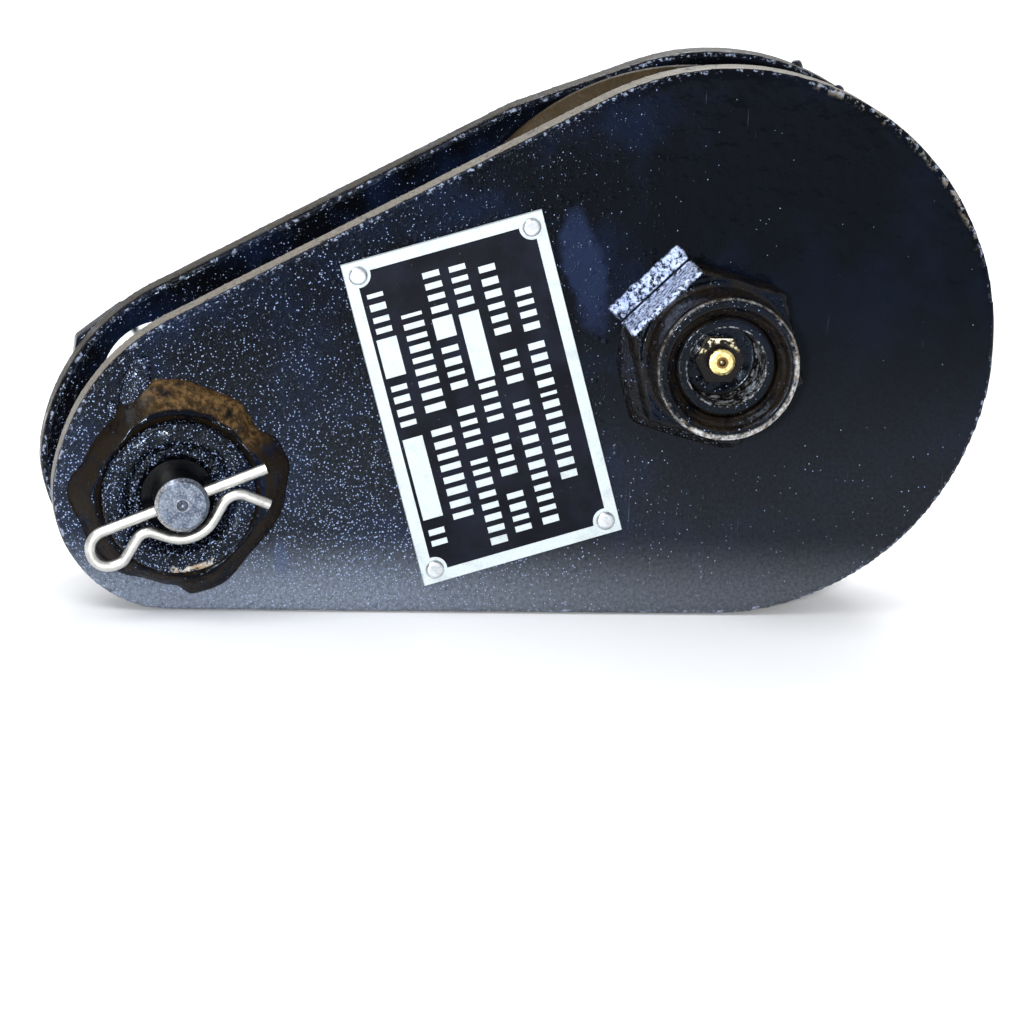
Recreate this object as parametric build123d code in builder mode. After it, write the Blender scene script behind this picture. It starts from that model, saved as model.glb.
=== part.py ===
"""Tail-board snatch block for 1/2 inch wire rope: two teardrop cheek plates with one
bronze-bushed sheave between them, a hexagon hub and a removable tail pin.

Frame: millimetres, +Z up, origin on the hub axis, midway between the cheeks.
+Y points to the back cheek, -Y to the front cheek, and the tail is towards -X.
"""

import os
from math import cos, radians, sin, sqrt, tan

from build123d import *

# ---------------------------------------------------------------- driving dimensions
SHEAVE_R = 114.3 / 2          # 4-1/2 inch sheave
ROPE_D = 12.7                 # 1/2 inch rope
CHEEK_T = 7.94                # 5/16 inch plate
GAP = 26.0                    # clear width between the cheeks
CHEEK_R = 60.6                # big end of the cheek
BIG_X = 3.4                   # centre of the big end, a little ahead of the hub axis
BIG_Z = 0.8                   # and above it
TAIL_R = 26.6                 # small end of the cheek
BIG_TO_TAIL = 122.75          # centre of the big end to tail pin axis
UPPER_SLOPE = 28.4            # slope of the upper straight edge, degrees
SHOULDER_R = 46.2             # arc between the upper edge and the small end
EDGE_BREAK = 0.9              # rounded arris of the cheek plates

HUB_PIN_R = 11.1              # 7/8 inch centre pin
HUB_AF = 34.9                 # hexagon across flats, 1-3/8 inch
RUN = 0.05                    # radial running clearance
FLOAT = 0.3                   # axial clearance on each side of a running piece

TAIL_PIN_R = 7.94             # 5/8 inch tail pin
TAIL_NOSE_R = 5.85            # turned-down front end of the tail pin
CLIP_WIRE_R = 1.2             # R-clip wire

# ---------------------------------------------------------------- derived positions
INNER = GAP / 2               # |y| of a cheek's inner face
OUTER = INNER + CHEEK_T       # |y| of a cheek's outer face
BOTTOM_Z = BIG_Z - CHEEK_R     # straight bottom edge, shared by both ends
TAIL_Z = BOTTOM_Z + TAIL_R
TAIL_X = BIG_X - sqrt(BIG_TO_TAIL**2 - (CHEEK_R - TAIL_R) ** 2)
TAIL = (TAIL_X, TAIL_Z)

def front_plane(x, depth, z, turn=0.0):
    """Plane at y = depth facing the front, with its local x turned up from +X."""
    angle = radians(turn)
    return Plane(origin=(x, depth, z), x_dir=(cos(angle), 0, sin(angle)), z_dir=(0, -1, 0))


def tail_plane(depth, turn=0.0):
    """Front-facing plane on the tail pin axis."""
    return front_plane(TAIL_X, depth, TAIL_Z, turn)


FRONT_OUTER = front_plane(0, -OUTER, 0)


def finish(builder, name):
    """Label a finished piece and write it."""
    builder.part.label = name
    export_step(builder.part, f"parts/{name}.step")


os.makedirs("parts", exist_ok=True)

# ---------------------------------------------------------------- cheek outline
slope = radians(UPPER_SLOPE)
normal = Vector(-sin(slope), cos(slope))
along = Vector(-cos(slope), -sin(slope))
big = Vector(BIG_X, BIG_Z)
tail = Vector(*TAIL)

# The shoulder arc touches the upper edge and holds the small end inside it.
reach = big + normal * (CHEEK_R - SHOULDER_R) - tail
half_b = reach.dot(along)
step = -half_b - sqrt(half_b**2 - reach.dot(reach) + (SHOULDER_R - TAIL_R) ** 2)
shoulder = big + normal * (CHEEK_R - SHOULDER_R) + along * step
shoulder_start = shoulder + normal * SHOULDER_R
to_tail = (tail - shoulder).normalized()
shoulder_end = shoulder + to_tail * SHOULDER_R
shoulder_mid = shoulder + (normal + to_tail).normalized() * SHOULDER_R
big_top = big + normal * CHEEK_R
big_bottom = Vector(BIG_X, BOTTOM_Z)
tail_bottom = Vector(TAIL_X, BOTTOM_Z)
tail_mid = tail + (to_tail + Vector(0, -1)).normalized() * TAIL_R

# The back cheek was cut by hand: its upper edge leaves the straight line at a corner and runs
# flatter over the big end. From the big end's right side: rejoin, crest, end of cut, corner.
REJOIN = (32.8, 52.7)
CREST = (7.5, 59.9)
CUT_END = (-11.8, 56.9)
CUT_CORNER = shoulder_start + (big_top - shoulder_start) * 0.845


def edge_from(start):
    """Upper edge from start, round the small end and back along the bottom."""
    Line(start, shoulder_start)
    ThreePointArc(shoulder_start, shoulder_mid, shoulder_end)
    ThreePointArc(shoulder_end, tail_mid, tail_bottom)
    Line(tail_bottom, big_bottom)


with BuildSketch() as front_outline:
    with BuildLine():
        ThreePointArc(big_bottom, big + Vector(CHEEK_R, 0), big_top)
        edge_from(big_top)
    make_face()

with BuildSketch() as back_outline:
    with BuildLine():
        ThreePointArc(big_bottom, big + Vector(CHEEK_R, 0), REJOIN)
        ThreePointArc(REJOIN, CREST, CUT_END)
        Line(CUT_END, CUT_CORNER)
        edge_from(CUT_CORNER)
    make_face()

# ---------------------------------------------------------------- name plate position
PLATE_X = -49.2
PLATE_Z = -11.8
PLATE_W = 44.9
PLATE_H = 73.6
PLATE_T = 0.8
PLATE_TURN = 17.0
RIVET_INSET = 3.1
RIVET_R = 2.05
RIVET_H = 0.9
RIVET_SHANK_R = 1.2
RIVET_SHANK_L = 4.0

plate_back = front_plane(PLATE_X, -OUTER, PLATE_Z, PLATE_TURN)
plate_face = plate_back.offset(PLATE_T)
rivet_grid = GridLocations(PLATE_W - 2 * RIVET_INSET, PLATE_H - 2 * RIVET_INSET, 2, 2)

# ---------------------------------------------------------------- cheeks
for name, outline, side in (("front_cheek", front_outline, 1), ("back_cheek", back_outline, -1)):
    with BuildPart() as cheek:
        with BuildSketch(front_plane(0, -side * INNER, 0)):
            add(outline.sketch)
            Circle(HUB_PIN_R, mode=Mode.SUBTRACT)
            with Locations(TAIL):
                Circle(TAIL_PIN_R + RUN, mode=Mode.SUBTRACT)
        extrude(amount=side * CHEEK_T)
        outline_edges = [
            edge
            for face in cheek.faces().filter_by(Axis.Y)
            for edge in face.outer_wire().edges()
        ]
        fillet(outline_edges, EDGE_BREAK)
        # blind holes for the name plate's rivets, in the front cheek only
        if side > 0:
            with BuildSketch(plate_back):
                with rivet_grid:
                    Circle(RIVET_SHANK_R)
            extrude(amount=PLATE_T - RIVET_SHANK_L, mode=Mode.SUBTRACT)
    finish(cheek, name)

# ---------------------------------------------------------------- sheave
SHEAVE_HUB_R = 24.0
WASHER_T = 1.6
SHEAVE_HUB_W = GAP - 2 * WASHER_T - 4 * FLOAT
RIM_W = 22.2                  # 7/8 inch
RIM_INNER_R = 37.0
WEB_T = 11.0
BUSHING_R = 14.3              # bushing outside radius
GROOVE_R = ROPE_D / 2 + 0.4
GROOVE_ROOT_R = 45.2
GROOVE_FLANK = radians(17.5)

groove_x = GROOVE_ROOT_R + GROOVE_R
flank_x = groove_x - GROOVE_R * sin(GROOVE_FLANK)
flank_y = GROOVE_R * cos(GROOVE_FLANK)
mouth_x = SHEAVE_R + 2.0
mouth_y = flank_y + (mouth_x - flank_x) * tan(GROOVE_FLANK)

with BuildPart() as sheave:
    with BuildSketch(Plane.XY):
        # radius runs along x, width along y
        for start_r, end_r, width in (
            (BUSHING_R, SHEAVE_HUB_R, SHEAVE_HUB_W),
            (SHEAVE_HUB_R, RIM_INNER_R, WEB_T),
            (RIM_INNER_R, SHEAVE_R, RIM_W),
        ):
            with Locations(((start_r + end_r) / 2, 0)):
                Rectangle(end_r - start_r, width)
        with Locations((groove_x, 0)):
            Circle(GROOVE_R, mode=Mode.SUBTRACT)
        with BuildLine():
            Polyline(
                (flank_x, -flank_y), (mouth_x, -mouth_y), (mouth_x, mouth_y),
                (flank_x, flank_y), close=True,
            )
        make_face(mode=Mode.SUBTRACT)
    revolve(axis=Axis.Y)
    rim_edges = sheave.edges().filter_by(
        lambda edge: edge.geom_type == GeomType.CIRCLE and edge.radius > SHEAVE_R - 0.5
    )
    fillet(rim_edges, 0.8)
finish(sheave, "sheave")

with BuildPart() as sheave_bushing:
    with BuildSketch(Plane.XZ):
        Circle(BUSHING_R)
        Circle(HUB_PIN_R + RUN, mode=Mode.SUBTRACT)
    extrude(amount=SHEAVE_HUB_W / 2, both=True)
    # grease groove round the middle of the bore
    with BuildSketch(Plane.XZ):
        Circle(HUB_PIN_R + 1.0)
    extrude(amount=1.2, both=True, mode=Mode.SUBTRACT)
finish(sheave_bushing, "sheave_bushing")

# ---------------------------------------------------------------- thrust washers
WASHER_R = 20.0
for name, side in (("front_thrust_washer", 1), ("rear_thrust_washer", -1)):
    with BuildPart() as washer:
        with BuildSketch(Plane.XZ.offset(side * (INNER - FLOAT - WASHER_T / 2))):
            Circle(WASHER_R)
            Circle(HUB_PIN_R + RUN, mode=Mode.SUBTRACT)
        extrude(amount=WASHER_T / 2, both=True)
    finish(washer, name)

# ---------------------------------------------------------------- centre pin
PIN_END = 18.6                # pin end above the front cheek's face, inside the nut
PIN_DISH_R = 8.4              # counterbore that shelters the grease nipple
PIN_DISH_DEPTH = 9.2
NIPPLE_THREAD_R = 3.0
NIPPLE_THREAD_L = 6.0
GREASE_R = 1.6
HEAD_H = 9.0                  # hexagon head behind the back cheek

with BuildPart() as centre_pin:
    with BuildSketch(Plane.XZ.offset(-OUTER)):
        Circle(HUB_PIN_R)
    extrude(amount=2 * OUTER + PIN_END)
    chamfer(centre_pin.edges().sort_by(Axis.Y)[0], 0.7)
    with BuildSketch(Plane.XZ.offset(OUTER + PIN_END)):
        Circle(PIN_DISH_R)
    extrude(amount=-PIN_DISH_DEPTH, mode=Mode.SUBTRACT)
    # rear hexagon head, with its corners turned off
    with BuildSketch(Plane.XZ.offset(-OUTER)):
        RegularPolygon(HUB_AF / 2, 6, major_radius=False)
    extrude(amount=-HEAD_H)
    with BuildSketch(Plane.XY):
        with BuildLine():
            Polyline(
                (HUB_AF / 2 - 0.4, OUTER + HEAD_H), (HUB_AF, OUTER + HEAD_H),
                (HUB_AF, OUTER + HEAD_H - 10.0), close=True,
            )
        make_face()
    revolve(axis=Axis.Y, mode=Mode.SUBTRACT)
    # nipple thread, axial grease hole and the cross hole to the bushing
    with BuildSketch(Plane.XZ.offset(OUTER + PIN_END)):
        Circle(NIPPLE_THREAD_R)
    extrude(amount=-(PIN_DISH_DEPTH + NIPPLE_THREAD_L), mode=Mode.SUBTRACT)
    with BuildSketch(Plane.XZ):
        Circle(GREASE_R)
    extrude(amount=OUTER + PIN_END, mode=Mode.SUBTRACT)
    with BuildSketch(Plane.XY):
        Circle(GREASE_R)
    extrude(amount=HUB_PIN_R + 1.0, both=True, mode=Mode.SUBTRACT)
finish(centre_pin, "centre_pin")

# ---------------------------------------------------------------- hub nut
NUT_HEX_H = 9.8
NUT_TOP = 21.4
COLLAR_R = 15.7
DISH_TOP_R = 13.6
DISH_BOTTOM_R = 11.4
NUT_TURN = 45.0               # angle of one corner above the X axis, degrees

with BuildPart() as hub_nut:
    with BuildSketch(FRONT_OUTER):
        RegularPolygon(HUB_AF / 2, 6, major_radius=False, rotation=NUT_TURN)
    extrude(amount=NUT_HEX_H)
    chamfer(hub_nut.faces().sort_by(Axis.Y)[0].edges(), 0.8)
    with BuildSketch(FRONT_OUTER):
        Circle(COLLAR_R)
    extrude(amount=NUT_TOP)
    fillet(hub_nut.faces().sort_by(Axis.Y)[0].edges(), 1.1)
    # dished recess, then the bore for the pin
    with BuildSketch(Plane.XY):
        with BuildLine():
            Polyline(
                (0, -OUTER - NUT_TOP), (DISH_TOP_R, -OUTER - NUT_TOP),
                (DISH_BOTTOM_R, -OUTER - PIN_END), (0, -OUTER - PIN_END), close=True,
            )
        make_face()
    revolve(axis=Axis.Y, mode=Mode.SUBTRACT)
    with BuildSketch(FRONT_OUTER):
        Circle(HUB_PIN_R)
    extrude(amount=NUT_TOP, mode=Mode.SUBTRACT)
finish(hub_nut, "hub_nut")

# Only the three lower flats of the nut are welded to the cheek.
WELD_LEG = 3.2
with BuildPart() as hub_weld:
    with BuildSketch(FRONT_OUTER):
        RegularPolygon(HUB_AF / 2 + WELD_LEG, 6, major_radius=False, rotation=NUT_TURN)
        fillet(vertices(), 3.0)
    extrude(amount=WELD_LEG - 0.2, taper=40)
    with BuildSketch(FRONT_OUTER):
        RegularPolygon(HUB_AF / 2, 6, major_radius=False, rotation=NUT_TURN)
        Rectangle(
            2 * HUB_AF, HUB_AF, rotation=NUT_TURN - 60, align=(Align.CENTER, Align.MIN)
        )
    extrude(amount=WELD_LEG, mode=Mode.SUBTRACT)
finish(hub_weld, "hub_weld")

# ---------------------------------------------------------------- grease nipple
NIPPLE_AF = 9.5
NIPPLE_HEX_H = 2.4
NIPPLE_TOP = 14.4             # top of the nipple above the front cheek's face
NIPPLE_HEAD_R = 2.9
NIPPLE_NECK_R = 2.1
BALL_R = 1.0
BALL_LIP_R = 0.75
BALL_LIP_T = 0.35
BALL_TRAVEL = 0.9
SPRING_R = 0.72
SPRING_WIRE_R = 0.14

nipple_seat = -(OUTER + PIN_END - PIN_DISH_DEPTH)     # y of the face it screws down to
nipple_top = -(OUTER + NIPPLE_TOP)
nipple_foot = nipple_seat + NIPPLE_THREAD_L
hex_top = nipple_seat - NIPPLE_HEX_H
ball_y = nipple_top + BALL_LIP_T + sqrt(BALL_R**2 - BALL_LIP_R**2) + 0.03

with BuildPart() as grease_nipple:
    with BuildSketch(Plane.XZ.offset(-nipple_seat)):
        RegularPolygon(NIPPLE_AF / 2, 6, major_radius=False)
    extrude(amount=NIPPLE_HEX_H)
    with BuildSketch(Plane.XY):
        with BuildLine():
            Polyline(
                (0, nipple_foot), (NIPPLE_THREAD_R, nipple_foot),
                (NIPPLE_THREAD_R, hex_top), (NIPPLE_NECK_R, hex_top - 0.6),
                (NIPPLE_NECK_R, nipple_top + 1.4), (NIPPLE_HEAD_R, nipple_top + 0.9),
                (NIPPLE_HEAD_R - 0.1, nipple_top + 0.25), (NIPPLE_HEAD_R - 0.7, nipple_top),
                (0, nipple_top), close=True,
            )
        make_face()
    revolve(axis=Axis.Y)
    # ball bore, open at the foot, with a lip round the mouth
    with BuildSketch(Plane.XZ.offset(-nipple_foot)):
        Circle(BALL_R + RUN)
    extrude(amount=nipple_foot - nipple_top - BALL_LIP_T, mode=Mode.SUBTRACT)
    with BuildSketch(Plane.XZ.offset(-nipple_foot)):
        Circle(BALL_LIP_R)
    extrude(amount=nipple_foot - nipple_top, mode=Mode.SUBTRACT)
finish(grease_nipple, "grease_nipple")

with BuildPart() as nipple_ball:
    with Locations((0, ball_y, 0)):
        Sphere(BALL_R)
finish(nipple_ball, "nipple_ball")

spring_top = ball_y + BALL_R + SPRING_WIRE_R + 0.05
spring_length = nipple_foot - SPRING_WIRE_R - spring_top
with BuildPart() as nipple_spring:
    with BuildLine():
        coil = Helix(
            pitch=spring_length / 6, height=spring_length, radius=SPRING_R,
            center=(0, spring_top, 0), direction=(0, 1, 0),
        )
    with BuildSketch(Plane(origin=coil @ 0, z_dir=coil % 0)):
        Circle(SPRING_WIRE_R)
    sweep()
finish(nipple_spring, "nipple_spring")

# ---------------------------------------------------------------- tail bosses
BOSS_R = 16.5
BOSS_H = 7.4
BOSS_DISH_R = 11.5
BOSS_DISH_DEPTH = 4.6
TAIL_WELD_R = 23.3
TAIL_WELD_H = 4.2
PAD_T = 6.35                  # flame-cut pad behind the back cheek
INNER_BOSS_R = 14.0
INNER_BOSS_H = 5.4
INNER_WELD_R = 19.0
INNER_WELD_H = 3.6
MOUND_R = 14.0                # weld mound on the back cheek, above the pin
MOUND_Z = 16.5

with BuildPart() as front_tail_boss:
    with BuildSketch(tail_plane(-OUTER)):
        Circle(BOSS_R)
    extrude(amount=BOSS_H)
    fillet(front_tail_boss.faces().sort_by(Axis.Y)[0].edges(), 1.2)
    with BuildSketch(tail_plane(-OUTER - BOSS_H)):
        Circle(BOSS_DISH_R)
    extrude(amount=-BOSS_DISH_DEPTH, mode=Mode.SUBTRACT)
    with BuildSketch(tail_plane(-OUTER)):
        Circle(TAIL_PIN_R + RUN)
    extrude(amount=BOSS_H, mode=Mode.SUBTRACT)
finish(front_tail_boss, "front_tail_boss")

# The weld is an eight-sided bead that slopes up to its boss.
with BuildPart() as front_tail_weld:
    with BuildSketch(tail_plane(-OUTER)):
        RegularPolygon(TAIL_WELD_R, 8, rotation=12)
        fillet(vertices(), 4.0)
    extrude(amount=TAIL_WELD_H, taper=50)
    with BuildSketch(tail_plane(-OUTER)):
        Circle(BOSS_R)
    extrude(amount=TAIL_WELD_H, mode=Mode.SUBTRACT)
finish(front_tail_weld, "front_tail_weld")

# corners of the flame-cut pad behind the back cheek, from the tail pin axis
PAD_CORNERS = (
    (-19.0, 24.3), (-9.5, 31.8), (4.0, 37.2), (20.0, 29.0),
    (25.0, 4.0), (16.0, -19.0), (-10.0, -21.5), (-21.0, -6.0),
)
with BuildPart() as rear_tail_pad:
    with BuildSketch(tail_plane(OUTER)):
        with BuildLine():
            Polyline(*PAD_CORNERS, close=True)
        make_face()
        Circle(TAIL_PIN_R + RUN, mode=Mode.SUBTRACT)
    extrude(amount=-PAD_T)
    chamfer(rear_tail_pad.faces().sort_by(Axis.Y)[-1].outer_wire().edges(), 1.0)
finish(rear_tail_pad, "rear_tail_pad")

# Two bosses inside the cheeks keep a tail link in the middle of the pin.
for name, side in (("front_inner_boss", -1), ("rear_inner_boss", 1)):
    with BuildPart() as inner_boss:
        with BuildSketch(tail_plane(side * INNER)):
            Circle(INNER_BOSS_R)
            Circle(TAIL_PIN_R + RUN, mode=Mode.SUBTRACT)
        extrude(amount=side * INNER_BOSS_H)
        link_face = inner_boss.faces().filter_by(Axis.Y).sort_by(Axis.Y)[0 if side > 0 else -1]
        fillet(link_face.outer_wire().edges(), 1.2)
    finish(inner_boss, name)

# Both stand in weld beads, and the rear one also has a mound of weld above it.
for name, side in (("front_inner_weld", -1), ("rear_inner_weld", 1)):
    with BuildPart() as inner_weld:
        with BuildSketch(tail_plane(side * INNER)):
            Circle(INNER_WELD_R)
        extrude(amount=side * INNER_WELD_H, taper=50)
        if side > 0:
            with BuildSketch(front_plane(TAIL_X, INNER, TAIL_Z + MOUND_Z)):
                Circle(MOUND_R)
            extrude(amount=INNER_WELD_H, taper=50)
        with BuildSketch(tail_plane(side * INNER)):
            Circle(INNER_BOSS_R)
        extrude(amount=side * INNER_WELD_H, mode=Mode.SUBTRACT)
    finish(inner_weld, name)

# ---------------------------------------------------------------- tail pin
PIN_NOSE_START = 3.6          # the nose starts this far above the front cheek's face
PIN_NOSE_END = 13.0
PIN_HEAD_R = 13.0
PIN_HEAD_H = 5.0
CLIP_H = BOSS_H + FLOAT + CLIP_WIRE_R + 0.1     # height of the clip's wire above the cheek
CLIP_TURN = 22.5              # slope of the clip's straight leg, degrees
CENTRE_DRILL_R = 1.3

with BuildPart() as tail_pin:
    with BuildSketch(tail_plane(OUTER + PAD_T + FLOAT)):
        Circle(TAIL_PIN_R)
    extrude(amount=2 * OUTER + PAD_T + FLOAT + PIN_NOSE_START)
    with BuildSketch(tail_plane(0)):
        Circle(TAIL_NOSE_R)
    extrude(amount=OUTER + PIN_NOSE_END)
    chamfer(tail_pin.edges().sort_by(Axis.Y)[0], 0.8)
    with BuildSketch(tail_plane(OUTER + PAD_T + FLOAT)):
        Circle(PIN_HEAD_R)
    extrude(amount=-PIN_HEAD_H)
    chamfer(tail_pin.edges().sort_by(Axis.Y)[-1], 1.2)
    # cross hole for the clip's straight leg
    clip_plane = tail_plane(-OUTER - CLIP_H, CLIP_TURN)
    with BuildSketch(Plane(origin=clip_plane.origin, z_dir=clip_plane.x_dir)):
        Circle(CLIP_WIRE_R + 0.15)
    extrude(amount=2 * TAIL_PIN_R, both=True, mode=Mode.SUBTRACT)
    # centre-drill dimple in the nose
    with Locations((TAIL_X, -OUTER - PIN_NOSE_END, TAIL_Z)):
        Sphere(CENTRE_DRILL_R, mode=Mode.SUBTRACT)
finish(tail_pin, "tail_pin")

# ---------------------------------------------------------------- R-clip
# Corners of the bent wire, in the plane of the clip: x runs along the straight leg.
CLIP_CORNERS = (
    (19.5, 0), (-21.75, 0), (-21.75, -7.85), (-16.0, -7.85),
    (-9.7, -2.75), (0.2, -10.7), (10.8, -1.5), (17.5, -7.7),
)
CLIP_RADII = (3.9, 3.9, 3.0, 3.0, 8.2, 4.1)

with BuildPart() as r_clip:
    with BuildLine(clip_plane) as clip_path:
        FilletPolyline(*CLIP_CORNERS, radius=CLIP_RADII)
    wire_start = clip_path.line @ 0
    with BuildSketch(Plane(origin=wire_start, z_dir=clip_path.line % 0)):
        Circle(CLIP_WIRE_R)
    sweep(path=clip_path.line)
finish(r_clip, "r_clip")

# ---------------------------------------------------------------- name plate
with BuildPart() as name_plate:
    with BuildSketch(plate_back):
        Rectangle(PLATE_W, PLATE_H)
        with rivet_grid:
            Circle(RIVET_SHANK_R, mode=Mode.SUBTRACT)
    extrude(amount=PLATE_T)
finish(name_plate, "name_plate")

with BuildPart() as name_plate_rivets:
    with BuildSketch(plate_face):
        with rivet_grid:
            Circle(RIVET_R)
    extrude(amount=RIVET_H)
    head_faces = name_plate_rivets.faces().filter_by(Axis.Y).sort_by(Axis.Y)[:4]
    fillet(head_faces.edges(), RIVET_H * 0.85)
    with BuildSketch(plate_face):
        with rivet_grid:
            Circle(RIVET_SHANK_R)
    extrude(amount=-RIVET_SHANK_L)
finish(name_plate_rivets, "name_plate_rivets")
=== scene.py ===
"""Looks for the tail-board snatch block: paint, worn edges, weld beads, wire clip and name plate.

Everything is in metres, in the row frame: +X from the tail to the big end, -Y to the front
cheek, +Z up. MM turns millimetres into metres.
"""

import math
import random

import bmesh
import bpy
from mathutils import Matrix, Vector, noise


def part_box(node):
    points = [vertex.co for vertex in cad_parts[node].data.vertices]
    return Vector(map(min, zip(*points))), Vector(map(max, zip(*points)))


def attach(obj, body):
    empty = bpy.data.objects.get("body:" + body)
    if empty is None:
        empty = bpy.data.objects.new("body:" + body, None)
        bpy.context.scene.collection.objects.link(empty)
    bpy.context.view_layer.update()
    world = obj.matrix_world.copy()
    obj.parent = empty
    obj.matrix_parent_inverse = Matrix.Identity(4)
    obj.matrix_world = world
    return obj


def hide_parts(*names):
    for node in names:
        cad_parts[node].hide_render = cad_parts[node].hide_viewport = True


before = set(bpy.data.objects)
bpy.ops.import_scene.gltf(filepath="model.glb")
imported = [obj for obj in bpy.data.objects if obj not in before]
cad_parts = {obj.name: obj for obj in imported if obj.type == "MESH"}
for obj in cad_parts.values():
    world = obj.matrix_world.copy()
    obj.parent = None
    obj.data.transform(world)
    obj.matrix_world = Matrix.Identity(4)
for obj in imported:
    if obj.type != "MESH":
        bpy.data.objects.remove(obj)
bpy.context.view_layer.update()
MM = 0.001
SUNK = 0.3 * MM         # how far an added piece reaches into what it sits on


# ------------------------------------------------------------------ places from the frame
def middle(node):
    """Centre of a CAD node's box."""
    low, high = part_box(node)
    return (low + high) / 2


def cad(node):
    """The object of a CAD node."""
    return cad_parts[node]


cheek_low, cheek_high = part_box("front_cheek")
FRONT_FACE = cheek_low.y                     # outer face of the front cheek
BACK_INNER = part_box("back_cheek")[0].y       # inner face of the back cheek
BACK_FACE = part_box("back_cheek")[1].y        # outer face of the back cheek
GROUND = cheek_low.z
BIG_R = (cheek_high.z - GROUND) / 2          # big end of the cheeks
BIG = Vector((cheek_high.x - BIG_R, 0, cheek_high.z - BIG_R))     # the big end's own centre
HUB = Vector((0, 0, 0))                      # axis of the centre pin, beside that centre
TAIL = middle("tail_pin")
BOSS_R = (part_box("front_tail_boss")[1].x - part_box("front_tail_boss")[0].x) / 2
BOSS_H = FRONT_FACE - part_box("front_tail_boss")[0].y
MOUND_UP = 16.5 * MM                         # mound of the rear inner weld, above the tail pin
MOUND_R = 13.8 * MM


def direction(azimuth, elevation):
    """Unit vector at an azimuth from -Y towards +X and an elevation, both in radians."""
    return Vector((math.sin(azimuth) * math.cos(elevation),
                   -math.cos(azimuth) * math.cos(elevation), math.sin(elevation)))


# ------------------------------------------------------------------ camera
def add_camera():
    """Long lens, a little above the block and to its left, slightly rolled."""
    azimuth, elevation, roll = (math.radians(a) for a in (-10.06, 13.61, 3.04))
    distance = 1.0847
    aim = Vector((-0.0414, FRONT_FACE, -0.0369))
    back = direction(azimuth, elevation)
    right = Vector((math.cos(azimuth), math.sin(azimuth), 0))
    up = back.cross(right)
    turned_right = right * math.cos(roll) + up * math.sin(roll)
    turned_up = up * math.cos(roll) - right * math.sin(roll)
    data = bpy.data.cameras.new("camera")
    data.sensor_width = 36.0
    data.lens = 175.8
    data.clip_end = 20.0
    camera = bpy.data.objects.new("camera", data)
    bpy.context.scene.collection.objects.link(camera)
    axes = Matrix((turned_right, turned_up, back)).transposed().to_4x4()
    camera.matrix_world = Matrix.Translation(aim + back * distance) @ axes
    bpy.context.scene.camera = camera


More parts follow.
